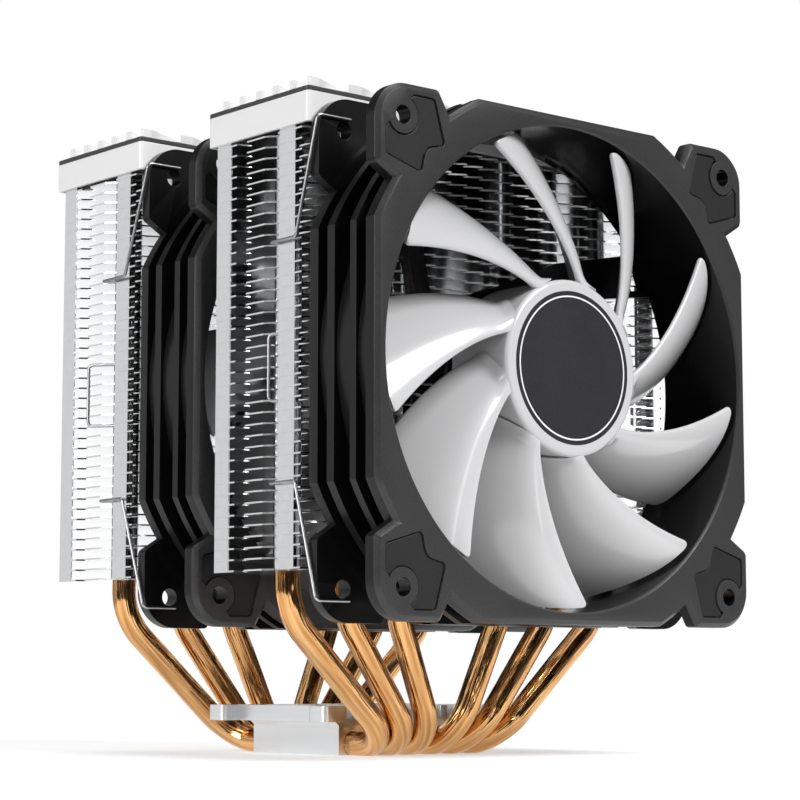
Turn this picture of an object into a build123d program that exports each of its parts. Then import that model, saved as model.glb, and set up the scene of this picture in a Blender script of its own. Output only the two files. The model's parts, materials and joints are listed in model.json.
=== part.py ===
from build123d import *
import math
import os

# Dual-tower processor cooler: two finned towers on six U-shaped heat pipes, a base and two fans.
# Frame: +Z up, origin at the centre of the base's flat underside, X = 0 in the plane of symmetry.
# Air flows towards +Y. Fan 1 stands in front of tower 1, and fan 2 between tower 1 and tower 2.
# Lengths are in millimetres, angles in degrees. A fan's pieces are drawn in the fan's own frame:
# X to the right, Y up, and Z = 0 in the front face with the depth of the fan along -Z.

# fans: outside size, place and frame
fan_size = 120.0
fan_depth = 25.0
fan_z = 91.0
fan_fronts = {1: -78.5, 2: -10.5}
hole_pitch = 105.0
hole_r = 2.15
flange_t = 4.0
flange_chamfer = 1.1
ear_round = 9.0
ear_tip_round = 1.5
side_r = 66.6
barrel_r = 59.2
bore_r = 57.2
lip_chamfer = 0.5
rib_spans = [(7.4, 9.5), (15.1, 17.6)]
pad_recess = 1.0
pad_t = 0.7
pad_round = 1.2
pad_inner_round = 3.0
boss_r = 4.3

# fans: motor base and struts; an outline runs along +X past the base and is turned to its place,
# and the wide strut that carries the cable has a window
motor_base_r = 22.0
motor_base_depth = 22.0
motor_wall_depth = 20.2
motor_wall_t = 2.0
strut_outline = [(0.0, 21.6), (14.0, 26.3), (51.9, 26.3), (54.2, 21.2), (5.0, 21.2)]
strut_angles = [102.0, 192.0, 282.0]
cable_outline = [(0.0, 21.6), (21.0, 25.8), (52.4, 25.6), (56.5, 14.2), (11.6, 17.0)]
cable_window = [(44.7, 24.2), (50.1, 24.1), (51.5, 16.3), (46.2, 16.5)]
cable_angle = 11.5
tube_r = 4.6
tube_bore_r = 3.5
tube_front = 7.0

# fans: impeller
blade_count = 9
tip_r = 56.0
hub_r = 21.0
hub_span = (0.5, 19.5)
hub_wall = 1.7
hub_face_t = 2.0
hub_round = 1.2
label_r = 18.2
label_t = 0.3
shaft_boss_r = 3.4
shaft_boss_rear = 6.0
blade_tip_angle = 35.5
blade_sweep = 34.5
blade_chord = 26.5
blade_t = 1.4
lead_depth = 1.7
trail_depth_root = 12.0
trail_depth_tip = 19.8
camber_power = 1.8
blade_grid = 6

# fans: motor and bearing
shaft_r = 1.5
shaft_rear = 21.9
lock_span = (21.2, 21.6)
lock_r = 2.7
lock_groove_r = 1.2
yoke_t = 1.1
yoke_rear = 18.5
magnet_t = 1.8
magnet_span = (6.0, 18.0)
core_r = 15.8
core_span = (9.0, 15.0)
core_shoe_t = 1.6
core_ring_r = 7.0
core_arm_w = 4.0
coil_reach = (7.2, 13.6)
coil_w = 8.4
coil_span = (7.4, 16.6)
board_r = 17.5
board_span = (19.2, 20.2)
sleeve_span = (7.2, 21.0)
running_gap = 0.03

# towers
tower_fronts = {1: -53.5, 2: 14.5}
tower_depth = 39.0
tower_w = 120.0
fin_count = 40
fin_pitch = 2.6
fin_t = 0.4
fin_z = 43.3
fin_half_w = 59.0
fin_span = (0.4, 38.8)
fin_corner = 3.0
fin_hole_gap = 0.1
collar_t = 0.3
tab_t = 0.4
tab_gap = 0.1
tab_spans = [(5.9, 11.9), (31.0, 37.0)]
slot_mouth = (12.5, 17.6)
slot_depth = 5.0
slot_slope = 1.37
notch_y = 26.6
notch_half = 2.0
notch_depth = 3.0

# covers
skirt_span = (145.6, 152.85)
skirt_wall = 1.0
cover_round = 1.0
top_plate_t = 1.1
rib_web_t = 0.5
rib_web_inset = 1.2
rib_h = 2.0
rib_t = 1.8
rib_angle = 27.0
rib_pitch_y = 6.5
rib_start_y = -0.65

# heat pipes: tower leg X and base X of each pair, outermost first
pipe_r = 3.0
pipe_pairs = [(50.2, 16.75), (33.0, 10.05), (16.5, 3.35)]
pipe_top = 150.5
pipe_leg_y = 34.0
pipe_knee_z = 34.0
pipe_foot_y = 32.0
pipe_base_z = 2.7
pipe_knee_round = 16.0
pipe_foot_round = 11.0
pipe_end_round = 2.2

# base
block_size = (42.8, 34.6, 7.2)
groove_gap = 0.02
neck_grow = 1.2
base_plate_span = (8.2, 12.1)
plate_waist_w = 53.0
plate_strip_w = 62.2
plate_strip_y = (17.2, 24.0)
air_slot_w = 2.3
air_slot_pitch = 4.6
air_slot_count = 11
air_slot_floor = 9.0
lug_pitch = (56.0, 41.0)
lug_hole_r = 1.6
lug_round = 1.5

# wire clips: X, and Y measured back from the front of the clip's tower
wire_r = 0.4
wire_bend = 1.2
hairpin_bend = 0.55
clip_tip_x = 51.1
clip_side_x = 60.6
clip_tip_dz = 55.1
clip_tip_depth = 20.5
clip_arm_dz = 28.0
clip_bar_dz = (6.7, -8.9)
clip_front = {"arm": 3.5, "mouth": (59.9, 14.6), "slot": (55.4, 8.4), "bar": (59.8, 14.5)}
clip_rear = {"arm": 5.5, "mouth": (60.0, 17.2), "slot": (55.4, 10.9), "bar": (61.75, 19.6)}

os.makedirs("parts", exist_ok=True)


def save(piece, label):
    """Name one finished piece and write its STEP file."""
    piece.label = label
    export_step(piece, f"parts/{label}.step")


def disc(radius, span, hole=0.0, mode=Mode.ADD):
    """A disc or ring about the fan's axis, filling a span of depth."""
    with BuildSketch(Plane.XY.offset(-span[0]), mode=Mode.PRIVATE) as profile:
        Circle(radius)
        if hole > 0:
            Circle(hole, mode=Mode.SUBTRACT)
    extrude(profile.sketch, amount=span[0] - span[1], mode=mode)


# ---- fan profiles -------------------------------------------------------------------------
half_side = fan_size / 2
with BuildSketch() as ear:
    half = [(34.0, 40.0), (38.1, 54.7), (41.3, half_side), (half_side, half_side)]
    Polygon(*half, *[(y, x) for x, y in half[2::-1]], align=None)
    fillet(ear.vertices().sort_by_distance((half_side, half_side))[0], radius=ear_round)
    ear_tips = [ear.vertices().sort_by_distance(tip)[0] for tip in (half[2], half[2][::-1])]
    fillet(ear_tips, radius=ear_tip_round)
    mirror(about=Plane.YZ)
    mirror(about=Plane.XZ)

with BuildSketch() as rib_profile:
    Rectangle(fan_size, fan_size)
    Circle(side_r, mode=Mode.INTERSECT)

with BuildSketch() as flange_profile:
    add(rib_profile.sketch)
    add(ear.sketch)

with BuildSketch() as pad_profile:
    half = [(49.3, 57.6), (43.0, 57.6), (39.9, 47.0)]
    Polygon(*half, (45.7, 45.7), *[(y, x) for x, y in half[::-1]], align=None)
    fillet(pad_profile.vertices().sort_by_distance((45.7, 45.7))[0], radius=pad_inner_round)
    outer_corners = [pad_profile.vertices().sort_by_distance(c)[0] for c in half[1:]]
    outer_corners += [pad_profile.vertices().sort_by_distance(c[::-1])[0] for c in half[1:]]
    fillet(outer_corners, radius=pad_round)
    with Locations((hole_pitch / 2, hole_pitch / 2)):
        Circle(boss_r, mode=Mode.SUBTRACT)
    mirror(about=Plane.YZ)
    mirror(about=Plane.XZ)

# ---- fan frame: two chamfered flanges, a ribbed barrel, and the motor base on four struts ----
fan_builders = {}
with BuildPart() as fan_frame:
    with BuildSketch():
        add(flange_profile.sketch)
    extrude(amount=-flange_t)
    front_rim = fan_frame.faces().sort_by(Axis.Z)[-1].outer_wire().edges()
    chamfer(front_rim, length=flange_chamfer)
    with BuildSketch(Plane.XY.offset(flange_t - fan_depth)):
        add(flange_profile.sketch)
    extrude(amount=-flange_t)
    rear_rim = fan_frame.faces().sort_by(Axis.Z)[0].outer_wire().edges()
    chamfer(rear_rim, length=flange_chamfer)
    for span in rib_spans:
        with BuildSketch(Plane.XY.offset(-span[0])):
            add(rib_profile.sketch)
        extrude(amount=span[0] - span[1])
    disc(barrel_r, (flange_t / 2, fan_depth - flange_t / 2))
    with BuildSketch():
        Circle(bore_r)
        with GridLocations(hole_pitch, hole_pitch, 2, 2):
            Circle(hole_r)
    extrude(amount=-fan_depth, mode=Mode.SUBTRACT)
    full_circles = fan_frame.edges().filter_by(lambda edge: edge.is_closed)
    chamfer(full_circles.group_by(Axis.Z)[-1].sort_by(SortBy.RADIUS)[-1], length=lip_chamfer)
    with BuildSketch():
        add(pad_profile.sketch)
    extrude(amount=-pad_recess, mode=Mode.SUBTRACT)
    with BuildSketch(Plane.XY.offset(-fan_depth)):
        add(pad_profile.sketch)
    extrude(amount=pad_recess, mode=Mode.SUBTRACT)
    with BuildSketch(Plane.XY.offset(-motor_base_depth)):
        Circle(motor_base_r)
        with Locations(*[Location((0, 0, 0), (0, 0, angle)) for angle in strut_angles]):
            Polygon(*strut_outline, align=None)
        with Locations(Location((0, 0, 0), (0, 0, cable_angle))):
            Polygon(*cable_outline, align=None)
            Polygon(*cable_window, align=None, mode=Mode.SUBTRACT)
    extrude(amount=motor_base_depth - fan_depth)
    disc(motor_base_r, (motor_wall_depth, motor_base_depth), motor_base_r - motor_wall_t)
    disc(tube_r, (tube_front, motor_base_depth), tube_bore_r)
fan_builders["frame"] = fan_frame

with BuildPart() as pads:
    with BuildSketch(Plane.XY.offset(-pad_recess), Plane.XY.offset(-fan_depth + pad_recess - pad_t)):
        add(pad_profile.sketch)
    extrude(amount=pad_t)
fan_builders["pads"] = pads

# ---- impeller: a hub cup with swept, cambered blades -----------------------------------------
grid = []
blade_root = hub_r - hub_wall / 2
for row in range(blade_grid):
    radius = blade_root + (tip_r + 1 - blade_root) * row / (blade_grid - 1)
    lead_angle = blade_tip_angle - blade_sweep * math.log(tip_r / radius)
    outward = (radius - blade_root) / (tip_r - blade_root)
    trail_depth = trail_depth_root + (trail_depth_tip - trail_depth_root) * outward
    line = []
    for column in range(blade_grid):
        share = column / (blade_grid - 1)
        angle = math.radians(lead_angle - blade_chord * share)
        depth = lead_depth + (trail_depth - lead_depth) * share ** camber_power
        line.append(Vector(radius * math.cos(angle), radius * math.sin(angle), -depth))
    grid.append(line)
blade_surface = Face.make_surface_from_array_of_points(grid)

with BuildPart() as blade:
    thicken(blade_surface, amount=blade_t / 2, both=True)
    with BuildSketch(Plane.XY.offset(-fan_depth)):
        Circle(tip_r)
        Circle(blade_root, mode=Mode.SUBTRACT)
    extrude(amount=fan_depth, mode=Mode.INTERSECT)

with BuildPart() as impeller:
    disc(hub_r, hub_span)
    hub_rim = impeller.edges().group_by(Axis.Z)[-1]
    fillet(hub_rim, radius=hub_round)
    inside = hub_span[0] + hub_face_t
    disc(hub_r - hub_wall, (inside, shaft_boss_rear), shaft_boss_r, mode=Mode.SUBTRACT)
    disc(hub_r - hub_wall, (shaft_boss_rear, hub_span[1]), mode=Mode.SUBTRACT)
    disc(shaft_r, (inside, shaft_boss_rear), mode=Mode.SUBTRACT)
    disc(label_r, (hub_span[0], hub_span[0] + label_t), mode=Mode.SUBTRACT)
    with PolarLocations(0, blade_count):
        add(blade.part)
fan_builders["impeller"] = impeller

with BuildPart() as hub_label:
    disc(label_r, (hub_span[0], hub_span[0] + label_t))
fan_builders["hub_label"] = hub_label

# ---- motor: steel yoke and magnet turn with the hub, the wound core stays on the tube --------
yoke_front = hub_span[0] + hub_face_t
yoke_r = hub_r - hub_wall
with BuildPart() as yoke:
    disc(yoke_r, (yoke_front, yoke_rear), yoke_r - yoke_t)
    disc(yoke_r, (yoke_front, yoke_front + yoke_t), shaft_boss_r)
fan_builders["yoke"] = yoke

with BuildPart() as magnet:
    disc(yoke_r - yoke_t, magnet_span, yoke_r - yoke_t - magnet_t)
fan_builders["magnet_ring"] = magnet

with BuildPart() as shaft:
    disc(shaft_r, (yoke_front, lock_span[0]))
    disc(lock_groove_r, lock_span)
    disc(shaft_r, (lock_span[1], shaft_rear))
fan_builders["shaft"] = shaft

with BuildPart() as lock_ring:
    disc(lock_r, lock_span, lock_groove_r)
fan_builders["lock_ring"] = lock_ring

with BuildPart() as bearing:
    disc(tube_bore_r, sleeve_span, shaft_r + running_gap)
fan_builders["bearing"] = bearing

with BuildPart() as core:
    with BuildSketch(Plane.XY.offset(-core_span[0])):
        Circle(core_ring_r)
        with PolarLocations(0, 4):
            Rectangle(core_r - core_shoe_t / 2, core_arm_w, align=(Align.MIN, Align.CENTER))
        with BuildSketch(mode=Mode.PRIVATE) as shoes:
            Circle(core_r)
            Circle(core_r - core_shoe_t, mode=Mode.SUBTRACT)
            with PolarLocations(core_r, 4, start_angle=45):
                Rectangle(core_r, core_arm_w, mode=Mode.SUBTRACT)
        add(shoes.sketch)
        Circle(tube_r, mode=Mode.SUBTRACT)
    extrude(amount=core_span[0] - core_span[1])
fan_builders["stator_core"] = core

coil_mid = (coil_reach[0] + coil_reach[1]) / 2
with BuildPart() as coils:
    with BuildSketch(Plane.XY.offset(-coil_span[0])):
        with PolarLocations(coil_mid, 4):
            RectangleRounded(coil_reach[1] - coil_reach[0], coil_w, 1.0)
    extrude(amount=coil_span[0] - coil_span[1])
    with BuildSketch(Plane.XY.offset(-core_span[0])):
        with PolarLocations(coil_mid, 4):
            Rectangle(coil_reach[1] - coil_reach[0], core_arm_w)
    extrude(amount=core_span[0] - core_span[1], mode=Mode.SUBTRACT)
fan_builders["coils"] = coils

with BuildPart() as board:
    disc(board_r, board_span, tube_r)
fan_builders["circuit_board"] = board

for number, front_y in fan_fronts.items():
    fan_face = Plane(origin=(0, front_y, fan_z), x_dir=(1, 0, 0), z_dir=(0, -1, 0))
    for piece_name, builder in fan_builders.items():
        save(builder.part.moved(fan_face.location), f"fan_{number}_{piece_name}")

# ---- towers: one fin, its folded edge tabs, and the stack ------------------------------------
pipe_spots = [(side * tower_x, 0) for side in (-1, 1) for tower_x, _ in pipe_pairs]
mouth_front, mouth_rear = slot_mouth
slot_rise = slot_depth * slot_slope
slot_x = fin_half_w - slot_depth
with BuildSketch() as fin_profile:
    Polygon(
        (0, fin_span[0]),
        (fin_half_w - fin_corner, fin_span[0]),
        (fin_half_w, fin_span[0] + fin_corner),
        (fin_half_w, mouth_front),
        (slot_x, mouth_front - slot_rise),
        (slot_x, mouth_rear - slot_rise),
        (fin_half_w, mouth_rear),
        (fin_half_w, notch_y - notch_half),
        (fin_half_w - notch_depth, notch_y),
        (fin_half_w, notch_y + notch_half),
        (fin_half_w, fin_span[1]),
        (0, fin_span[1]),
        align=None,
    )
    mirror(about=Plane.YZ)
    with Locations(*[(x, tower_depth / 2) for x, _ in pipe_spots]):
        Circle(pipe_r + fin_hole_gap, mode=Mode.SUBTRACT)

with BuildPart() as fin:
    with BuildSketch():
        add(fin_profile.sketch)
    extrude(amount=fin_t)
    with BuildSketch(Plane.XY.offset(fin_t)):
        for start, end in tab_spans:
            with Locations(((fin_half_w - tab_t / 2), (start + end) / 2)):
                Rectangle(tab_t, end - start)
        mirror(about=Plane.YZ)
        with Locations(*[(x, tower_depth / 2) for x, _ in pipe_spots]):
            Circle(pipe_r + fin_hole_gap + collar_t)
            Circle(pipe_r + fin_hole_gap, mode=Mode.SUBTRACT)
    extrude(amount=fin_pitch - fin_t - tab_gap)

with BuildPart() as rib_panel:
    cover_top = skirt_span[1] + top_plate_t
    with BuildSketch(Plane.XY.offset(cover_top)):
        RectangleRounded(tower_w - 2 * rib_web_inset, tower_depth - 2 * rib_web_inset, cover_round)
    extrude(amount=rib_web_t)
    with BuildSketch(Plane.XY.offset(cover_top)):
        first = Vector(-tower_w / 2, -tower_depth / 2)
        steps = int((tower_depth + tower_w * math.tan(math.radians(rib_angle))) / rib_pitch_y) + 1
        last_step = int((tower_depth - rib_web_inset - rib_start_y - rib_t) / rib_pitch_y)
        for step in range(-steps, last_step + 1):
            start = first + Vector(0, rib_start_y + step * rib_pitch_y)
            with Locations(Location(start, (0, 0, rib_angle))):
                Rectangle(3 * tower_w, rib_t)
        RectangleRounded(tower_w, tower_depth, cover_round, mode=Mode.INTERSECT)
    extrude(amount=rib_h)

for number, front_y in tower_fronts.items():
    mid_y = front_y + tower_depth / 2
    with BuildPart() as fins:
        with Locations(*[(0, front_y, fin_z + level * fin_pitch) for level in range(fin_count)]):
            add(fin.part)
    save(fins.part, f"tower_{number}_fins")

    with BuildPart() as skirt:
        with BuildSketch(Plane.XY.offset(skirt_span[0])):
            with Locations((0, mid_y)):
                RectangleRounded(tower_w, tower_depth, cover_round)
        extrude(amount=skirt_span[1] - skirt_span[0])
        with BuildSketch(Plane.XY.offset(skirt_span[0])):
            with Locations((0, mid_y)):
                Rectangle(tower_w - 2 * skirt_wall, tower_depth - 2 * skirt_wall)
        extrude(amount=skirt_span[1] - skirt_span[0] - skirt_wall, mode=Mode.SUBTRACT)
    save(skirt.part, f"tower_{number}_cover")

    with BuildPart() as top_plate:
        with BuildSketch(Plane.XY.offset(skirt_span[1])):
            with Locations((0, mid_y)):
                RectangleRounded(tower_w, tower_depth, cover_round)
        extrude(amount=top_plate_t)
    save(top_plate.part, f"tower_{number}_top_plate")
    save(rib_panel.part.moved(Location((0, mid_y, 0))), f"tower_{number}_rib_panel")

# ---- heat pipes: up one tower, through the base and up the other ------------------------------
pipe_places = [(-tower_x, -base_x) for tower_x, base_x in pipe_pairs] + pipe_pairs[::-1]
for index, (tower_x, base_x) in enumerate(pipe_places, start=1):
    front_half = [
        (tower_x, -pipe_leg_y, pipe_top),
        (tower_x, -pipe_leg_y, pipe_knee_z),
        (base_x, -pipe_foot_y, pipe_base_z),
    ]
    points = front_half + [(x, -y, z) for x, y, z in front_half[::-1]]
    rounds = [pipe_knee_round, pipe_foot_round, pipe_foot_round, pipe_knee_round]
    with BuildPart() as pipe:
        with BuildLine() as path:
            FilletPolyline(*points, radius=rounds)
        with BuildSketch(Plane(origin=points[0], z_dir=(0, 0, -1))):
            Circle(pipe_r)
        sweep()
        ends = pipe.edges().filter_by(GeomType.CIRCLE).group_by(Axis.Z)[-1]
        fillet(ends, radius=pipe_end_round)
        with Locations((base_x, 0, 0)):
            Box(4 * pipe_r, 2 * tower_depth, pipe_r, align=(Align.CENTER, Align.CENTER, Align.MAX),
                mode=Mode.SUBTRACT)
    save(pipe.part, f"heat_pipe_{index}")

# ---- base: grooved contact block under a slotted, H-shaped plate ------------------------------
block_w, block_d, block_t = block_size
with BuildPart() as block:
    with BuildSketch():
        Rectangle(block_w, block_d)
    extrude(amount=block_t)
    with BuildSketch(Plane.XY.offset(block_t)):
        Rectangle(block_w, block_d)
    with BuildSketch(Plane.XY.offset(base_plate_span[0])):
        Rectangle(block_w + 2 * neck_grow, block_d - 2 * groove_gap)
    loft()
    with BuildSketch(Plane.XZ.offset(-block_d)):
        with Locations(*[(base_x, pipe_base_z) for _, base_x in pipe_places]):
            Circle(pipe_r + groove_gap)
        with Locations(*[(base_x, 0) for _, base_x in pipe_places]):
            Rectangle(2 * math.sqrt(pipe_r ** 2 - pipe_base_z ** 2), pipe_r)
    extrude(amount=2 * block_d, mode=Mode.SUBTRACT)
save(block.part, "base_block")

strip_inner, strip_outer = plate_strip_y
with BuildPart() as plate:
    with BuildSketch(Plane.XY.offset(base_plate_span[0])):
        Rectangle(plate_waist_w, 2 * strip_outer)
        with Locations((0, (strip_inner + strip_outer) / 2), (0, -(strip_inner + strip_outer) / 2)):
            RectangleRounded(plate_strip_w, strip_outer - strip_inner, lug_round)
        with GridLocations(*lug_pitch, 2, 2):
            Circle(lug_hole_r, mode=Mode.SUBTRACT)
    extrude(amount=base_plate_span[1] - base_plate_span[0])
    with BuildSketch(Plane.XY.offset(air_slot_floor)):
        with GridLocations(air_slot_pitch, 0, air_slot_count, 1):
            Rectangle(air_slot_w, 3 * strip_outer)
    extrude(amount=base_plate_span[1], mode=Mode.SUBTRACT)
save(plate.part, "base_plate")

# ---- wire clips: one bent wire on each side of each fan ---------------------------------------
for place, fan_number, bends in [("front", 1, clip_front), ("rear", 2, clip_rear)]:
    tip_y = fan_fronts[fan_number] + clip_tip_depth
    tower_y = tower_fronts[fan_number]
    for side_name, side in [("left", -1), ("right", 1)]:
        def spot(key, height):
            """A bend of the wire beside the tower, at a height from the fan's axis."""
            x, y = bends[key]
            return (side * x, tower_y + y, fan_z + height)

        def arm(sign, bar_height):
            """From the tip in the fan's corner to the end of the bar, for one half of the clip."""
            arm_z = fan_z + sign * clip_arm_dz
            return [
                (side * clip_tip_x, tip_y, fan_z + sign * clip_tip_dz),
                (side * clip_side_x, tip_y, fan_z + sign * clip_tip_dz),
                (side * clip_side_x, tower_y + bends["arm"], arm_z),
                spot("mouth", sign * clip_arm_dz),
                spot("slot", sign * clip_arm_dz),
                spot("slot", bar_height),
                spot("bar", bar_height),
            ]

        points = arm(1, clip_bar_dz[0]) + arm(-1, clip_bar_dz[1])[::-1]
        half_rounds = [wire_bend, wire_bend, hairpin_bend, wire_bend, wire_bend, wire_bend]
        rounds = half_rounds + half_rounds[::-1]
        with BuildPart() as clip:
            with BuildLine() as path:
                FilletPolyline(*points, radius=rounds)
            with BuildSketch(Plane(origin=points[0], z_dir=(side, 0, 0))):
                Circle(wire_r)
            sweep()
        save(clip.part, f"clip_{place}_{side_name}")
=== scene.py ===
import json
import math

import bmesh
import bpy
from mathutils import Matrix, Vector


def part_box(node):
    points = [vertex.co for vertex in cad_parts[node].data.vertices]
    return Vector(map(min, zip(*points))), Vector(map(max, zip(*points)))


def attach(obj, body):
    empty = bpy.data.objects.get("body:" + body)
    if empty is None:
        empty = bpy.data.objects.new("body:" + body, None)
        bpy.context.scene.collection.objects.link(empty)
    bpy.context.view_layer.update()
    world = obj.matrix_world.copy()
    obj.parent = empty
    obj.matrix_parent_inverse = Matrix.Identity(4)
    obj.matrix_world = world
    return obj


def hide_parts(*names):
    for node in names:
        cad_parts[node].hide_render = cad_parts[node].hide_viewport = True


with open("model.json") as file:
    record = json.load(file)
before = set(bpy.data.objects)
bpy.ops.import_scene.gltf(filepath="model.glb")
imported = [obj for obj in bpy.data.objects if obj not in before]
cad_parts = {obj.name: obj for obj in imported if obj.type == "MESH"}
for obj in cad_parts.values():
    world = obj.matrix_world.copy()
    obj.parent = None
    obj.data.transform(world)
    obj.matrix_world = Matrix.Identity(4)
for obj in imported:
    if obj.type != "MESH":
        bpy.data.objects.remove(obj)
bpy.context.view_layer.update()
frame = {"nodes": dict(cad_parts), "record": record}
nodes = frame["nodes"]

MM = 0.001
FANS = (1, 2)
TOWERS = (1, 2)


# ---- camera --------------------------------------------------------------------------------
def make_camera():
    """The camera stands low in front and to the left, and looks slightly up at the fans."""
    position = Vector((-0.3865, -0.47224, 0.0185))
    forward = Vector((0.6413, 0.7583, 0.1171)).normalized()
    data = bpy.data.cameras.new("camera")
    data.sensor_width = 36.0
    data.lens = 106.55
    camera = bpy.data.objects.new("camera", data)
    camera.location = position
    camera.rotation_euler = forward.to_track_quat("-Z", "Y").to_euler()
    bpy.context.scene.collection.objects.link(camera)
    bpy.context.scene.camera = camera


# ---- materials -----------------------------------------------------------------------------
NOISE_LOW = 0.3
NOISE_HIGH = 0.7


def shader(name, colour, roughness, metallic=0.0, coat=0.0, coat_roughness=0.1, specular=0.5):
    """A new material with a Principled shader: the material, its node tree and the shader."""
    material = bpy.data.materials.new(name)
    material.use_nodes = True
    tree = material.node_tree
    surface = tree.nodes["Principled BSDF"]
    surface.inputs["Base Color"].default_value = (*colour, 1.0)
    surface.inputs["Roughness"].default_value = roughness
    surface.inputs["Metallic"].default_value = metallic
    surface.inputs["Coat Weight"].default_value = coat
    surface.inputs["Coat Roughness"].default_value = coat_roughness
    surface.inputs["Specular IOR Level"].default_value = specular
    return material, tree, surface


def noise(tree, per_metre, detail=3.0, stretch=(1.0, 1.0, 1.0)):
    """Noise in object space, with its scale in waves per metre times the stretch of each axis."""
    place = tree.nodes.new("ShaderNodeTexCoord")
    mapping = tree.nodes.new("ShaderNodeMapping")
    mapping.inputs["Scale"].default_value = stretch
    texture = tree.nodes.new("ShaderNodeTexNoise")
    texture.inputs["Scale"].default_value = per_metre
    texture.inputs["Detail"].default_value = detail
    tree.links.new(place.outputs["Object"], mapping.inputs["Vector"])
    tree.links.new(mapping.outputs["Vector"], texture.inputs["Vector"])
    return texture.outputs["Fac"]


def vary_roughness(tree, surface, factor, low, high):
    """Roughness runs between low and high with a noise factor."""
    spread = tree.nodes.new("ShaderNodeMapRange")
    spread.inputs["From Min"].default_value = NOISE_LOW
    spread.inputs["From Max"].default_value = NOISE_HIGH
    spread.inputs["To Min"].default_value = low
    spread.inputs["To Max"].default_value = high
    tree.links.new(factor, spread.inputs["Value"])
    tree.links.new(spread.outputs["Result"], surface.inputs["Roughness"])


def vary_colour(tree, surface, factor, dark, light):
    """Base colour runs from dark to light with a noise factor."""
    ramp = tree.nodes.new("ShaderNodeValToRGB")
    ramp.color_ramp.elements[0].position = NOISE_LOW
    ramp.color_ramp.elements[0].color = (*dark, 1.0)
    ramp.color_ramp.elements[1].position = NOISE_HIGH
    ramp.color_ramp.elements[1].color = (*light, 1.0)
    tree.links.new(factor, ramp.inputs["Fac"])
    tree.links.new(ramp.outputs["Color"], surface.inputs["Base Color"])


def add_bump(tree, surface, factor, height_mm):
    """The shading follows a relief of the factor times a height."""
    bump = tree.nodes.new("ShaderNodeBump")
    bump.inputs["Distance"].default_value = height_mm * MM
    bump.inputs["Strength"].default_value = 1.0
    tree.links.new(factor, bump.inputs["Height"])
    tree.links.new(bump.outputs["Normal"], surface.inputs["Normal"])


def moulded_plastic(name, colour, roughness, grain_mm, specular=0.5):
    """Matt moulded plastic with a fine spark-eroded grain and broad patches of duller finish."""
    grain_per_metre = 2600.0
    patches_per_metre = 90.0
    spread = 0.05
    crest_gain = 1.25
    valley_gain = 0.8
    material, tree, surface = shader(name, colour, roughness, specular=specular)
    grain = noise(tree, grain_per_metre, detail=2.0)
    add_bump(tree, surface, grain, grain_mm)
    lighter = tuple(min(1.0, channel * crest_gain) for channel in colour)
    darker = tuple(channel * valley_gain for channel in colour)
    vary_colour(tree, surface, grain, darker, lighter)
    vary_roughness(tree, surface, noise(tree, patches_per_metre), roughness - spread, roughness + spread)
    return material


def gloss_plastic(name, colour, roughness, coat, specular=0.5):
    """Glossy moulded plastic with a slight waviness."""
    waves_per_metre = 35.0
    wave_mm = 0.03
    spread = 0.01
    material, tree, surface = shader(name, colour, roughness, coat=coat, coat_roughness=0.06,
                                     specular=specular)
    waves = noise(tree, waves_per_metre, detail=0.0)
    add_bump(tree, surface, waves, wave_mm)
    vary_roughness(tree, surface, waves, roughness - spread, roughness + spread)
    return material


def metal(name, dark, light, roughness, stretch=(1.0, 1.0, 1.0), per_metre=700.0, scratch_mm=0.01):
    """Bare metal with cloudy shades, or with streaks along the axis where the stretch is small."""
    smoother = 0.02
    rougher = 0.03
    material, tree, surface = shader(name, light, roughness, metallic=1.0)
    streaks = noise(tree, per_metre, detail=4.0, stretch=stretch)
    vary_colour(tree, surface, streaks, dark, light)
    vary_roughness(tree, surface, streaks, roughness - smoother, roughness + rougher)
    if scratch_mm > 0:
        add_bump(tree, surface, streaks, scratch_mm)
    return material


def copper_with_painted_streaks(name, dark, light, roughness):
    """Drawn copper pipe: long shallow grooves, laid along the pipe by its girth coordinates, with painted
    reflection streaks: the base colour runs from dark to light with the same noise.
    """
    furrows_and_streaks_per_unit = 2.6
    furrow_mm = 0.55
    material, tree, surface = shader(name, light, roughness, metallic=1.0)
    girth = tree.nodes.new("ShaderNodeAttribute")
    girth.attribute_name = "girth"
    furrows_and_painted_streaks = tree.nodes.new("ShaderNodeTexNoise")
    furrows_and_painted_streaks.inputs["Scale"].default_value = furrows_and_streaks_per_unit
    furrows_and_painted_streaks.inputs["Detail"].default_value = 2.0
    tree.links.new(girth.outputs["Vector"], furrows_and_painted_streaks.inputs["Vector"])
    # Painted reflection streaks: the base colour runs from dark to light with the groove noise around the
    # pipe.
    vary_colour(tree, surface, furrows_and_painted_streaks.outputs["Fac"], dark, light)
    add_bump(tree, surface, furrows_and_painted_streaks.outputs["Fac"], furrow_mm)
    return material


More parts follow.
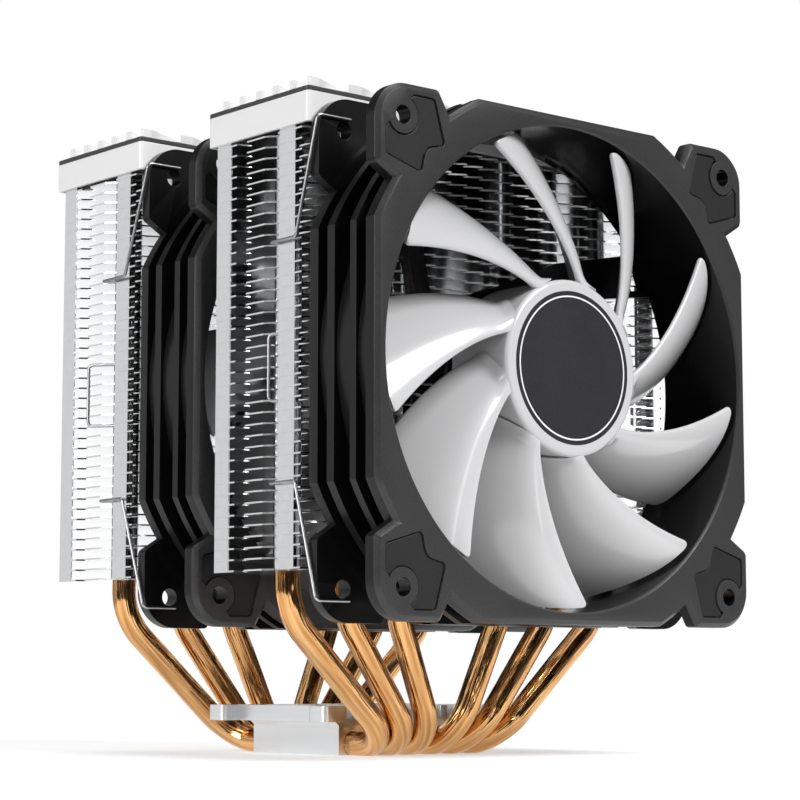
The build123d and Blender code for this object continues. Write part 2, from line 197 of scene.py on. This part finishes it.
def make_plastics():
    """The plastics, rubbers and films, by name."""
    return {
        "frame_plastic": moulded_plastic("frame_plastic", (0.033, 0.033, 0.034), 0.36, 0.02,
                                         specular=0.4),
        # The bore and the sides between the flanges: the frame's plastic, smoother, with a darker base
        # colour that is painted shade.
        "bore_plastic_painted_shade": gloss_plastic("bore_plastic_painted_shade", (0.006, 0.006, 0.006), 0.22, 0.0, specular=0.3),
        "side_plastic_painted_shade": gloss_plastic("side_plastic_painted_shade", (0.009, 0.009, 0.009), 0.30, 0.0, specular=0.22),
        "pad_rubber": moulded_plastic("pad_rubber", (0.014, 0.014, 0.015), 0.50, 0.01, specular=0.35),
        "impeller_plastic": gloss_plastic("impeller_plastic", (0.60, 0.60, 0.61), 0.22, 0.6),
        "label_film": moulded_plastic("label_film", (0.022, 0.022, 0.024), 0.42, 0.002, specular=0.35),
        "label_ring": gloss_plastic("label_ring", (0.85, 0.85, 0.85), 0.4, 0.0),
        "magnet_rubber": moulded_plastic("magnet_rubber", (0.04, 0.04, 0.04), 0.6, 0.01),
        "ring_plastic": gloss_plastic("ring_plastic", (0.75, 0.75, 0.7), 0.4, 0.0),
        "board_laminate": moulded_plastic("board_laminate", (0.03, 0.16, 0.07), 0.4, 0.005),
        "cover_plastic": gloss_plastic("cover_plastic", (0.80, 0.80, 0.80), 0.32, 0.3),
        "top_plate_plastic": moulded_plastic("top_plate_plastic", (0.030, 0.030, 0.032), 0.42, 0.02),
    }


def make_metals():
    """The metals, by name."""
    return {
        "motor_steel": metal("motor_steel", (0.45, 0.45, 0.46), (0.62, 0.62, 0.63), 0.35),
        "bearing_bronze": metal("bearing_bronze", (0.45, 0.3, 0.15), (0.6, 0.42, 0.22), 0.45),
        "copper": metal("copper", (0.78, 0.41, 0.17), (0.88, 0.52, 0.25), 0.09, per_metre=60.0,
                        scratch_mm=0.0),
        # Pipe copper: its dark and light colours are painted reflection streaks around each pipe.
        "pipe_copper_painted_streaks": copper_with_painted_streaks("pipe_copper_painted_streaks", (0.50, 0.22, 0.07), (0.92, 0.56, 0.25), 0.10),
        "fin_aluminium": metal("fin_aluminium", (0.88, 0.89, 0.90), (0.92, 0.93, 0.94), 0.15,
                               per_metre=500.0, scratch_mm=0.0),
        "base_aluminium": metal("base_aluminium", (0.77, 0.78, 0.79), (0.80, 0.81, 0.82), 0.30,
                                per_metre=900.0, stretch=(1.0, 0.04, 1.0), scratch_mm=0.0),
        "wire_steel": metal("wire_steel", (0.35, 0.35, 0.36), (0.45, 0.45, 0.46), 0.30,
                            per_metre=300.0, scratch_mm=0.0),
    }


def dress_cad_nodes(materials):
    """Every CAD node takes the material of its slot."""
    for entry in frame["record"]["subparts"]:
        mesh = nodes[entry["node"]].data
        mesh.materials.clear()
        mesh.materials.append(materials[entry["material_slot"]])


# ---- floor, studio and lights --------------------------------------------------------------
WHITE = (1.0, 1.0, 1.0, 1.0)
FLOOR_R = 0.27
FLOOR_SIDES = 96


def make_stage():
    """A round, pale floor under the object, with a glow of its own that thins its shadows."""
    bm = bmesh.new()
    bmesh.ops.create_circle(bm, cap_ends=True, segments=FLOOR_SIDES, radius=FLOOR_R)
    mesh = bpy.data.meshes.new("floor")
    bm.to_mesh(mesh)
    bm.free()
    floor = bpy.data.objects.new("floor", mesh)
    bpy.context.scene.collection.objects.link(floor)
    material, _, surface = shader("floor_paint", (0.60, 0.60, 0.60), 0.9, specular=0.1)
    surface.inputs["Emission Color"].default_value = WHITE
    surface.inputs["Emission Strength"].default_value = 0.5
    mesh.materials.append(material)


def make_world():
    """A studio that the camera sees as white, while it lights the object only dimly."""
    world = bpy.data.worlds.new("studio")
    bpy.context.scene.world = world
    world.use_nodes = True
    tree = world.node_tree
    dim = tree.nodes["Background"]
    dim.inputs["Color"].default_value = WHITE
    dim.inputs["Strength"].default_value = 0.03
    white = tree.nodes.new("ShaderNodeBackground")
    white.inputs["Strength"].default_value = 1.0
    white.inputs["Color"].default_value = WHITE
    path = tree.nodes.new("ShaderNodeLightPath")
    seen = tree.nodes.new("ShaderNodeMixShader")
    tree.links.new(path.outputs["Is Camera Ray"], seen.inputs["Fac"])
    tree.links.new(dim.outputs["Background"], seen.inputs[1])
    tree.links.new(white.outputs["Background"], seen.inputs[2])
    tree.links.new(seen.outputs["Shader"], tree.nodes["World Output"].inputs["Surface"])
    bpy.context.scene.view_settings.view_transform = "Standard"


def area_light(name, position, size, power):
    """A white rectangular softbox at a place, aimed at the middle of the object."""
    middle = Vector((0.0, 0.0, 0.08))
    data = bpy.data.lights.new(name, "AREA")
    data.shape = "RECTANGLE"
    data.size, data.size_y = size
    data.energy = power
    light = bpy.data.objects.new(name, data)
    light.location = position
    aim = middle - Vector(position)
    light.rotation_euler = aim.to_track_quat("-Z", "Y").to_euler()
    bpy.context.scene.collection.objects.link(light)


def make_lights():
    """Two softboxes and a top light, dim cards to reflect in the metal, and two narrow strips."""
    area_light("left", (-1.3, 0.05, 0.50), (0.7, 0.7), 12.0)
    area_light("left_card", (-1.0, 1.15, 0.25), (1.5, 1.2), 3.6)
    area_light("front", (0.25, -1.10, 1.10), (0.9, 0.7), 25.0)
    area_light("front_card", (1.0, -1.15, 0.25), (1.4, 1.0), 1.0)
    area_light("right_card", (1.0, 1.20, 0.05), (1.5, 1.2), 5.6)
    area_light("left_strip", (-1.25, -0.35, 0.25), (0.10, 1.0), 0.4)
    area_light("front_strip", (-0.15, -1.25, 0.25), (0.10, 1.0), 1.2)
    area_light("top", (0.0, 0.2, 1.4), (1.0, 1.0), 10.0)


# ---- mesh tools ----------------------------------------------------------------------------
MERGE_DISTANCE = 0.001 * MM
FLAT_DEG = 1.0  # triangles that meet at less are joined into one face
SOFT_DEG = 25.0  # edges sharper than this are rounded
CREASE_DEG = 20.0  # edges sharper than this keep a crease in the shading


def add_piece(name, bm, coats, body, replaces=(), sharp_deg=35.0):
    """Turns a bmesh into an object that rides on a body, with edges over an angle kept sharp."""
    bmesh.ops.recalc_face_normals(bm, faces=bm.faces)
    mesh = bpy.data.meshes.new(name)
    bm.to_mesh(mesh)
    bm.free()
    mesh.shade_smooth()
    mesh.set_sharp_from_angle(angle=math.radians(sharp_deg))
    for material in coats:
        mesh.materials.append(material)
    piece = bpy.data.objects.new(name, mesh)
    bpy.context.scene.collection.objects.link(piece)
    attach(piece, body)
    if replaces:
        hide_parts(*replaces)


def lathe(bm, profile, segments, place):
    """Revolves a closed outline of (radius, height) points about the Z axis of a place."""
    turns = [math.tau * step / segments for step in range(segments)]
    rings = []
    for radius, height in profile:
        spots = turns if radius > 0 else turns[:1]
        points = [Vector((radius * math.cos(turn), radius * math.sin(turn), height)) for turn in spots]
        rings.append([bm.verts.new(place @ point) for point in points])
    for ring, following in zip(rings, rings[1:] + rings[:1]):
        for step in range(segments):
            after = (step + 1) % segments
            corners = [ring[step % len(ring)], ring[after % len(ring)]]
            corners += [following[after % len(following)], following[step % len(following)]]
            corners = list(dict.fromkeys(corners))
            if len(corners) > 2:
                bm.faces.new(corners)


def bridge(bm, ring, following):
    """Joins two closed rings with equal numbers of points by a band of faces."""
    for index in range(len(ring)):
        after = (index + 1) % len(ring)
        bm.faces.new((ring[index], ring[after], following[after], following[index]))


def round_corners(points, radii, steps=10):
    """Replaces each inner corner of a path by an arc of its own radius."""
    path = [points[0]]
    for before, corner, after, radius in zip(points, points[1:], points[2:], radii):
        to_before = (before - corner).normalized()
        to_after = (after - corner).normalized()
        half = to_before.angle(to_after) / 2
        reach = radius / math.tan(half)
        centre = corner + (to_before + to_after).normalized() * (radius / math.sin(half))
        start = (corner + to_before * reach - centre).normalized()
        end = (corner + to_after * reach - centre).normalized()
        path += [centre + start.slerp(end, step / steps) * radius for step in range(steps + 1)]
    return path + [points[-1]]


def tube(bm, path, radius, sides, end_round=0.0):
    """Sweeps a circle along a path without twist and closes both ends with a chamfered cap.

    Each point's girth holds its place around the tube, as a cosine and a sine, and its way along it.
    """
    girth_unit = 60.0 * MM
    cap_share = 0.8
    girth = bm.verts.layers.float_vector.new("girth")
    travelled = 0.0
    directions = [(b - a).normalized() for a, b in zip(path, path[1:])]
    directions.append(directions[-1])
    across = directions[0].orthogonal().normalized()
    rings = []
    for index, point in enumerate(path):
        before = max(index - 1, 0)
        tangent = (directions[index] + directions[before]).normalized()
        across = (across - tangent * across.dot(tangent)).normalized()
        other = tangent.cross(across)
        travelled += (point - path[before]).length
        ring = []
        for side in range(sides):
            turn = math.tau * side / sides
            offset = across * math.cos(turn) + other * math.sin(turn)
            vertex = bm.verts.new(point + offset * radius)
            vertex[girth] = (math.cos(turn), math.sin(turn), travelled / girth_unit)
            ring.append(vertex)
        rings.append(ring)
    for ring, following in zip(rings, rings[1:]):
        bridge(bm, ring, following)
    for ring, outward in ((rings[0], -directions[0]), (rings[-1], directions[-1])):
        middle = sum((v.co for v in ring), Vector()) / sides
        cap = [bm.verts.new(middle + (v.co - middle) * cap_share + outward * end_round) for v in ring]
        bridge(bm, ring, cap)
        bm.faces.new(cap)


def joined_faces(node):
    """A copy of a CAD node's mesh, in its place, with its triangles joined into flat faces."""
    bm = bmesh.new()
    bm.from_mesh(nodes[node].data)
    bm.transform(nodes[node].matrix_world)
    bmesh.ops.remove_doubles(bm, verts=bm.verts, dist=MERGE_DISTANCE)
    bmesh.ops.dissolve_limit(bm, angle_limit=math.radians(FLAT_DEG), verts=bm.verts, edges=bm.edges)
    return bm


def round_edges(bm, least_deg, radius):
    """Rounds the edges whose two faces meet at more than an angle."""
    least = math.radians(least_deg)
    sharp = [edge for edge in bm.edges if edge.is_manifold and edge.calc_face_angle() > least]
    bmesh.ops.bevel(bm, geom=sharp, offset=radius, segments=2, profile=0.5, affect="EDGES",
                    clamp_overlap=True)


def softened(node, radius):
    """A copy of a CAD node's mesh with its sharp edges rounded, kept within the node's own box."""
    bm = joined_faces(node)
    round_edges(bm, SOFT_DEG, radius)
    low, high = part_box(node)
    for vertex in bm.verts:
        vertex.co = [min(max(value, least), most) for value, least, most in zip(vertex.co, low, high)]
    return bm


def middle_of(node):
    """The centre of a CAD node's box."""
    low, high = (Vector(corner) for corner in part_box(node))
    return (low + high) / 2


# ---- impellers -----------------------------------------------------------------------------
LATHE_SEGMENTS = 144
HUB_R = 21.0 * MM
HUB_FRONT = -0.5 * MM
HUB_REAR = -19.5 * MM
HUB_WALL = 1.7 * MM
HUB_FACE_T = 2.0 * MM
HUB_RIM_R = 1.2 * MM
LABEL_R = 18.2 * MM
LABEL_SINK = 0.3 * MM
BOSS_R = 3.4 * MM
BOSS_REAR = -6.0 * MM
SHAFT_R = 1.5 * MM
TIP_R = 56.0 * MM
BLADES = 9
BLADE_TIP_ANGLE = math.radians(35.5)
BLADE_SWEEP = math.radians(34.5)
BLADE_CHORD = math.radians(26.5)
BLADE_FRONT = -0.9 * MM
BLADE_HALF_T = 0.7 * MM
BLADE_ROOT_FLARE = 0.9 * MM
BLADE_ROOT_SINK = 0.8 * MM
BLADE_CORNER_R = 1.6 * MM
BLADE_ROWS = 40
BLADE_COLUMNS = 36


def fan_place(fan):
    """A fan's own frame: X right, Y up and Z towards the front, with Z = 0 in its front face."""
    low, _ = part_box(f"fan_{fan}_frame")
    middle = middle_of(f"fan_{fan}_frame")
    return Matrix.Translation((middle.x, low[1], middle.z)) @ Matrix.Rotation(math.pi / 2, 4, "X")


def hub_profile():
    """The hub cup's outline as (radius, height), with a rounded rim, a sunk label and a shaft boss."""
    rim_steps = 6
    arc = [math.radians(90 - 90 * step / rim_steps) for step in range(rim_steps + 1)]
    rim_x = HUB_R - HUB_RIM_R
    rim_z = HUB_FRONT - HUB_RIM_R
    rim = [(rim_x + HUB_RIM_R * math.cos(turn), rim_z + HUB_RIM_R * math.sin(turn)) for turn in arc]
    cup_r = HUB_R - HUB_WALL
    inside = HUB_FRONT - HUB_FACE_T
    label_floor = HUB_FRONT - LABEL_SINK
    face = [(0, label_floor), (LABEL_R, label_floor), (LABEL_R, HUB_FRONT)]
    cup = [(HUB_R, HUB_REAR), (cup_r, HUB_REAR), (cup_r, inside)]
    boss = [(BOSS_R, inside), (BOSS_R, BOSS_REAR), (SHAFT_R, BOSS_REAR), (SHAFT_R, inside)]
    return face + rim + cup + boss + [(0, inside)]


def blade_mean(radius, share):
    """A point of the blade's mean surface, share 0 at the leading edge and 1 at the trailing edge."""
    lead_depth = 1.7 * MM
    root_trail_depth = 12.0 * MM
    tip_trail_depth = 19.8 * MM
    curl = 1.8
    outward = (radius - HUB_R) / (TIP_R - HUB_R)
    trail_depth = root_trail_depth + (tip_trail_depth - root_trail_depth) * outward
    angle = BLADE_TIP_ANGLE - BLADE_SWEEP * math.log(TIP_R / radius) - BLADE_CHORD * share
    depth = lead_depth + (trail_depth - lead_depth) * share ** curl
    return Vector((radius * math.cos(angle), radius * math.sin(angle), -depth))


def blade_normal(radius, share):
    """The direction across the blade towards the front, at a point of its mean surface."""
    nudge = 0.002
    behind = share - nudge if share > nudge else 0.0
    chordwise = blade_mean(radius, share + nudge) - blade_mean(radius, behind)
    spanwise = blade_mean(radius * (1 + nudge), share) - blade_mean(radius * (1 - nudge), share)
    normal = chordwise.cross(spanwise).normalized()
    return -normal if normal.z < 0 else normal


def blade_section(radius):
    """The closed outline of the blade at one radius: along the front, round the edge and back.

    The root is thicker, the edges are rounded, and the chord shortens at the tip to round its corners.
    """
    half_t = BLADE_HALF_T + BLADE_ROOT_FLARE * math.exp((HUB_R - radius) / BLADE_ROOT_FLARE)
    edge_round = 1.1 * half_t
    width = radius * BLADE_CHORD
    into_corner = max(0.0, radius - (TIP_R - BLADE_CORNER_R))
    trimmed = BLADE_CORNER_R - math.sqrt(max(0.0, BLADE_CORNER_R ** 2 - into_corner ** 2))
    margin = trimmed / width
    front, back = [], []
    for column in range(BLADE_COLUMNS + 1):
        along = (1 - math.cos(math.pi * column / BLADE_COLUMNS)) / 2
        share = margin + (1 - 2 * margin) * along
        from_edge = min(along, 1 - along) * width
        rounding = min(1.0, from_edge / edge_round)
        half = half_t * math.sqrt(max(0.0, 1 - (1 - rounding) ** 2))
        middle = blade_mean(radius, share)
        normal = blade_normal(radius, share)
        front.append(middle + normal * half)
        back.append(middle - normal * half)
    outline = front + back[-2:0:-1]
    return [Vector((point.x, point.y, min(point.z, BLADE_FRONT))) for point in outline]


def close_section(bm, loop):
    """Closes one end of a blade with strips from its front points to its back points."""
    size = len(loop)
    for index in range(1, size // 2):
        corners = (loop[index - 1], loop[index], loop[size - index], loop[(size - index + 1) % size])
        bm.faces.new(list(dict.fromkeys(corners)))
    bm.faces.new((loop[size // 2 - 1], loop[size // 2], loop[size // 2 + 1]))


def add_blade(bm, place):
    """One swept blade, from just inside the hub's wall to its tip."""
    root_r = HUB_R - BLADE_ROOT_SINK
    loops = []
    for row in range(BLADE_ROWS + 1):
        outward = math.sin(math.pi / 2 * row / BLADE_ROWS)
        radius = root_r + (TIP_R - root_r) * outward
        loops.append([bm.verts.new(place @ point) for point in blade_section(radius)])
    for loop, following in zip(loops, loops[1:]):
        bridge(bm, loop, following)
    close_section(bm, loops[0])
    close_section(bm, loops[-1])


def make_impeller(fan, materials):
    """The hub cup and its nine swept blades, with rounded edges and roots that widen into the hub."""
    place = fan_place(fan)
    bm = bmesh.new()
    lathe(bm, hub_profile(), LATHE_SEGMENTS, place)
    for blade in range(BLADES):
        add_blade(bm, place @ Matrix.Rotation(math.tau * blade / BLADES, 4, "Z"))
    add_piece(f"impeller_{fan}", bm, [materials["impeller_plastic"]], f"rotor_{fan}",
              replaces=[f"fan_{fan}_impeller"])


def make_label_ring(fan, materials):
    """The thin pale ring printed near the edge of the hub's label."""
    front = -0.45 * MM
    back = -0.52 * MM
    outer = 17.1 * MM
    inner = 16.72 * MM
    profile = [(inner, front), (outer, front), (outer, back), (inner, back)]
    bm = bmesh.new()
    lathe(bm, profile, LATHE_SEGMENTS, fan_place(fan))
    add_piece(f"label_ring_{fan}", bm, [materials["label_ring"]], f"rotor_{fan}")


# ---- fan frames and pads -------------------------------------------------------------------
def make_frame(fan, materials):
    """The fan frame with rounded edges: grained on its two outer faces, smoother elsewhere, with painted
    shade that makes it darker in the bore and on the sides between the flanges.
    """
    edge_r = 0.25 * MM
    bore_r = 57.3 * MM
    bore_front = -0.6 * MM
    side_front = -1.2 * MM
    side_rear = -23.8 * MM
    bm = softened(f"fan_{fan}_frame", edge_r)
    to_fan = fan_place(fan).inverted()
    # Painted shade: faces in the bore and on the sides between the flanges take the darker copies of the
    # frame's plastic.
    for face in bm.faces:
        middle = to_fan @ face.calc_center_median()
        if math.hypot(middle.x, middle.y) < bore_r and middle.z < bore_front:
            face.material_index = 1
        elif side_rear < middle.z < side_front:
            face.material_index = 2
    coats = [materials["frame_plastic"], materials["bore_plastic_painted_shade"], materials["side_plastic_painted_shade"]]
    add_piece(f"frame_{fan}", bm, coats, "heatsink",
              replaces=[f"fan_{fan}_frame"], sharp_deg=CREASE_DEG)


def make_pads(fan, materials):
    """The corner pads, drawn in from the edge of their recess so that a groove is left around them."""
    groove = 0.35 * MM
    rim_r = 0.15 * MM
    rim_deg = 60.0
    bm = joined_faces(f"fan_{fan}_pads")
    bm.normal_update()
    inward = [Vector((-vertex.normal.x, 0.0, -vertex.normal.z)).normalized() for vertex in bm.verts]
    for vertex, direction in zip(bm.verts, inward):
        vertex.co += direction * groove
    round_edges(bm, rim_deg, rim_r)
    add_piece(f"pads_{fan}", bm, [materials["pad_rubber"]], "heatsink",
              replaces=[f"fan_{fan}_pads"], sharp_deg=CREASE_DEG)


# ---- covers and base -----------------------------------------------------------------------
def make_soft_pieces(materials):
    """Covers, top plates and the base, with slightly rounded edges."""
    radii = {"base_block": 0.15, "base_plate": 0.2}
    for tower in TOWERS:
        radii[f"tower_{tower}_cover"] = 0.3
        radii[f"tower_{tower}_top_plate"] = 0.15
    slots = {entry["node"]: entry["material_slot"] for entry in frame["record"]["subparts"]}
    for node, radius in radii.items():
        slot = slots[node]
        add_piece(f"soft_{node}", softened(node, radius * MM), [materials[slot]], "heatsink",
                  replaces=[node], sharp_deg=CREASE_DEG)


# ---- fins ----------------------------------------------------------------------------------
PIPE_PAIRS = ((50.2, 16.75), (33.0, 10.05), (16.5, 3.35))  # mm from the middle: in a tower, in the base
FIN_HALF_W = 59.0 * MM
FIN_FRONT = 0.4 * MM
FIN_T = 0.4 * MM
FIN_PITCH = 2.6 * MM
FIN_GAP = 0.02 * MM
FIN_COUNT = 40
TOWER_DEPTH = 39.2 * MM
TAB_T = 0.4 * MM
TAB_SPANS = ((5.9 * MM, 11.9 * MM), (31.0 * MM, 36.4 * MM))
HOLE_Y = 19.5 * MM
HOLE_R = 3.1 * MM
HOLE_SIDES = 28


def saw_edge(start_x, end_x, tip_y, tooth_depth, pitch):
    """Points along +X of an edge cut into slanted teeth whose tips reach tip_y."""
    rise_share = 0.88
    teeth = round((end_x - start_x) / pitch)
    width = (end_x - start_x) / teeth
    points = []
    for tooth in range(teeth):
        x = start_x + tooth * width
        points.append((x, tip_y + tooth_depth))
        points.append((x + rise_share * width, tip_y))
    return points


def fin_outline():
    """One fin's closed outline, X across and Y back from the tower's front.

    Each side has a slanted slot for the clips and a small notch behind it.
    """
    saw_half_w = 56.0 * MM
    side_front = 3.4 * MM
    side_back = 36.4 * MM
    slot_depth = 5.0 * MM
    slot_slope = 1.37
    slot_rise = slot_depth * slot_slope
    slot_x = FIN_HALF_W - slot_depth
    slot_front = 12.5 * MM
    slot_back = 17.6 * MM
    notch_depth = 3.0 * MM
    notch_y = 26.6 * MM
    notch_half = 2.0 * MM
    right = [
        (FIN_HALF_W, side_front),
        (FIN_HALF_W, slot_front),
        (slot_x, slot_front - slot_rise),
        (slot_x, slot_back - slot_rise),
        (FIN_HALF_W, slot_back),
        (FIN_HALF_W, notch_y - notch_half),
        (FIN_HALF_W - notch_depth, notch_y),
        (FIN_HALF_W, notch_y + notch_half),
        (FIN_HALF_W, side_back),
    ]
    left = [(-x, y) for x, y in right[::-1]]
    front = saw_edge(-saw_half_w, saw_half_w, FIN_FRONT, tooth_depth=2.4 * MM, pitch=5.0 * MM)
    front.append((saw_half_w, FIN_FRONT))
    back = [(x, TOWER_DEPTH - y) for x, y in front]
    return front + right + back[::-1] + left


def flat_plate(outline, holes, thickness):
    """A flat plate with round holes, as a mesh lying on Z = 0."""
    curve = bpy.data.curves.new("plate", "CURVE")
    curve.dimensions = "2D"
    curve.fill_mode = "BOTH"
    curve.extrude = thickness / 2
    turns = [math.tau * step / HOLE_SIDES for step in range(HOLE_SIDES)]
    loops = [outline]
    for x, y in holes:
        loops.append([(x + HOLE_R * math.cos(turn), y + HOLE_R * math.sin(turn)) for turn in turns])
    for loop in loops:
        spline = curve.splines.new("POLY")
        spline.points.add(len(loop) - 1)
        spline.use_cyclic_u = True
        for point, (x, y) in zip(spline.points, loop):
            point.co = (x, y, thickness / 2, 1.0)
    holder = bpy.data.objects.new("plate", curve)
    mesh = bpy.data.meshes.new_from_object(holder)
    bpy.data.objects.remove(holder)
    bpy.data.curves.remove(curve)
    return mesh


def add_box(bm, low, high):
    """An axis-aligned box between two corners."""
    made = bmesh.ops.create_cube(bm, size=1.0)
    for vertex in made["verts"]:
        vertex.co = Vector([a + (b - a) * (c + 0.5) for a, b, c in zip(low, high, vertex.co)])


def collar_profile():
    """A ring that stands on a fin around a pipe up to the next fin, with a chamfered foot."""
    wall = 0.3 * MM
    foot = 0.5 * MM
    top = FIN_PITCH - FIN_GAP
    foot_points = [(HOLE_R, FIN_T), (HOLE_R + foot, FIN_T), (HOLE_R + wall, FIN_T + wall)]
    return foot_points + [(HOLE_R + wall, top), (HOLE_R, top)]


def fin_mesh():
    """One fin at the bottom of a stack: its plate, two folded tabs on each side and its collars."""
    holes = [(side * x * MM, HOLE_Y) for side in (-1, 1) for x, _ in PIPE_PAIRS]
    bm = bmesh.new()
    bm.from_mesh(flat_plate(fin_outline(), holes, FIN_T))
    bmesh.ops.remove_doubles(bm, verts=bm.verts, dist=MERGE_DISTANCE)
    for start, end in TAB_SPANS:
        for side in (-1, 1):
            inner, outer = sorted((side * FIN_HALF_W, side * (FIN_HALF_W - TAB_T)))
            add_box(bm, (inner, start, FIN_T), (outer, end, FIN_PITCH - FIN_GAP))
    for x, y in holes:
        lathe(bm, collar_profile(), HOLE_SIDES, Matrix.Translation((x, y, 0.0)))
    mesh = bpy.data.meshes.new("fin")
    bm.to_mesh(mesh)
    bm.free()
    return mesh


def make_fins(tower, materials):
    """Forty thin fins with saw-toothed front and back edges, stacked on their tabs."""
    low = Vector(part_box(f"tower_{tower}_fins")[0])
    origin = Vector((0.0, low.y - FIN_FRONT, low.z))
    fin = fin_mesh()
    bm = bmesh.new()
    for level in range(FIN_COUNT):
        before = len(bm.verts)
        bm.from_mesh(fin)
        bm.verts.ensure_lookup_table()
        shift = origin + Vector((0, 0, level * FIN_PITCH))
        bmesh.ops.translate(bm, vec=shift, verts=bm.verts[before:])
    add_piece(f"fins_{tower}", bm, [materials["fin_aluminium"]], "heatsink",
              replaces=[f"tower_{tower}_fins"], sharp_deg=CREASE_DEG)


# ---- heat pipes ----------------------------------------------------------------------------
PIPE_R = 3.0 * MM
PIPE_SIDES = 48
PIPE_BEND_STEPS = 24
PIPE_END_ROUND = 1.5 * MM
# The corners of a pipe's route, in mm: y from the middle plane between the towers, z from the ground.
LEG_Y = 34.0
LEG_TOP_Z = 148.5
LEG_FOOT_Z = 34.0
BASE_END_Y = 32.0
BASE_Z = 2.7


def make_pipes(materials):
    """Six U-shaped pipes: down a tower, across to the base, through it and up the other tower."""
    knee_r = 16.0 * MM
    base_bend_r = 11.0 * MM
    radii = [knee_r, base_bend_r, base_bend_r, knee_r]
    places = [(-tower_x, -base_x) for tower_x, base_x in PIPE_PAIRS] + list(PIPE_PAIRS[::-1])
    for number, (tower_x, base_x) in enumerate(places, start=1):
        half = [(tower_x, -LEG_Y, LEG_TOP_Z), (tower_x, -LEG_Y, LEG_FOOT_Z), (base_x, -BASE_END_Y, BASE_Z)]
        route = half + [(x, -y, z) for x, y, z in half[::-1]]
        points = [Vector(point) * MM for point in route]
        path = round_corners(points, radii, steps=PIPE_BEND_STEPS)
        bm = bmesh.new()
        tube(bm, path, PIPE_R, PIPE_SIDES, end_round=PIPE_END_ROUND)
        for vertex in bm.verts:
            vertex.co.z = max(vertex.co.z, 0.0)
        add_piece(f"pipe_{number}", bm, [materials["pipe_copper_painted_streaks"]], "heatsink",
                  replaces=[f"heat_pipe_{number}"])


# ---- wire clips ----------------------------------------------------------------------------
WIRE_R = 0.4 * MM
WIRE_SIDES = 16
# A clip's distances, in mm: x from the middle plane, y behind the tower's front, z from the fan's axis.
CLIPS = {
    "front": {"fan": 1, "arm_y": 3.5, "mouth": (59.9, 14.6), "slot": (55.4, 8.4), "bar": (59.8, 14.5)},
    "rear": {"fan": 2, "arm_y": 5.5, "mouth": (60.0, 17.2), "slot": (55.4, 10.9), "bar": (61.75, 19.6)},
}
HOOK_X = 51.1
HOOK_DEPTH = 20.5  # behind the fan's front face
HOOK_Z = 55.1
BESIDE_X = 60.6
ARM_Z = 28.0
BAR_TOP_Z = 6.7
BAR_BOTTOM_Z = -8.9
HALF_BENDS = [1.2, 1.2, 0.55, 1.2, 1.2, 1.2]


def clip_half(shape, sign, bar_z):
    """From a hook in the fan's upper (1) or lower (-1) corner, through the tower's slot, to the bar."""
    axis_z = middle_of(f"fan_{shape['fan']}_frame").z / MM
    hook_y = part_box(f"fan_{shape['fan']}_frame")[0][1] / MM + HOOK_DEPTH
    tower_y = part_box(f"tower_{shape['fan']}_cover")[0][1] / MM
    hook_z = axis_z + sign * HOOK_Z
    arm_z = axis_z + sign * ARM_Z
    points = [(HOOK_X, hook_y, hook_z), (BESIDE_X, hook_y, hook_z)]
    points.append((BESIDE_X, tower_y + shape["arm_y"], arm_z))
    for key, z in (("mouth", arm_z), ("slot", arm_z), ("slot", axis_z + bar_z), ("bar", axis_z + bar_z)):
        x, y = shape[key]
        points.append((x, tower_y + y, z))
    return points


def make_clips(materials):
    """Four clips of bent spring wire that hook the fans' corners to slots in the towers' sides."""
    radii = [radius * MM for radius in HALF_BENDS + HALF_BENDS[::-1]]
    for place, shape in CLIPS.items():
        route = clip_half(shape, 1, BAR_TOP_Z) + clip_half(shape, -1, BAR_BOTTOM_Z)[::-1]
        for side_name, side in (("left", -1), ("right", 1)):
            points = [Vector((side * x, y, z)) * MM for x, y, z in route]
            bm = bmesh.new()
            tube(bm, round_corners(points, radii), WIRE_R, WIRE_SIDES)
            add_piece(f"wire_{place}_{side_name}", bm, [materials["wire_steel"]], "heatsink",
                      replaces=[f"clip_{place}_{side_name}"])


make_camera()
materials = {**make_plastics(), **make_metals()}
dress_cad_nodes(materials)
for fan in FANS:
    make_impeller(fan, materials)
    make_label_ring(fan, materials)
    make_frame(fan, materials)
    make_pads(fan, materials)
make_soft_pieces(materials)
for tower in TOWERS:
    make_fins(tower, materials)
make_pipes(materials)
make_clips(materials)
make_stage()
make_world()
make_lights()
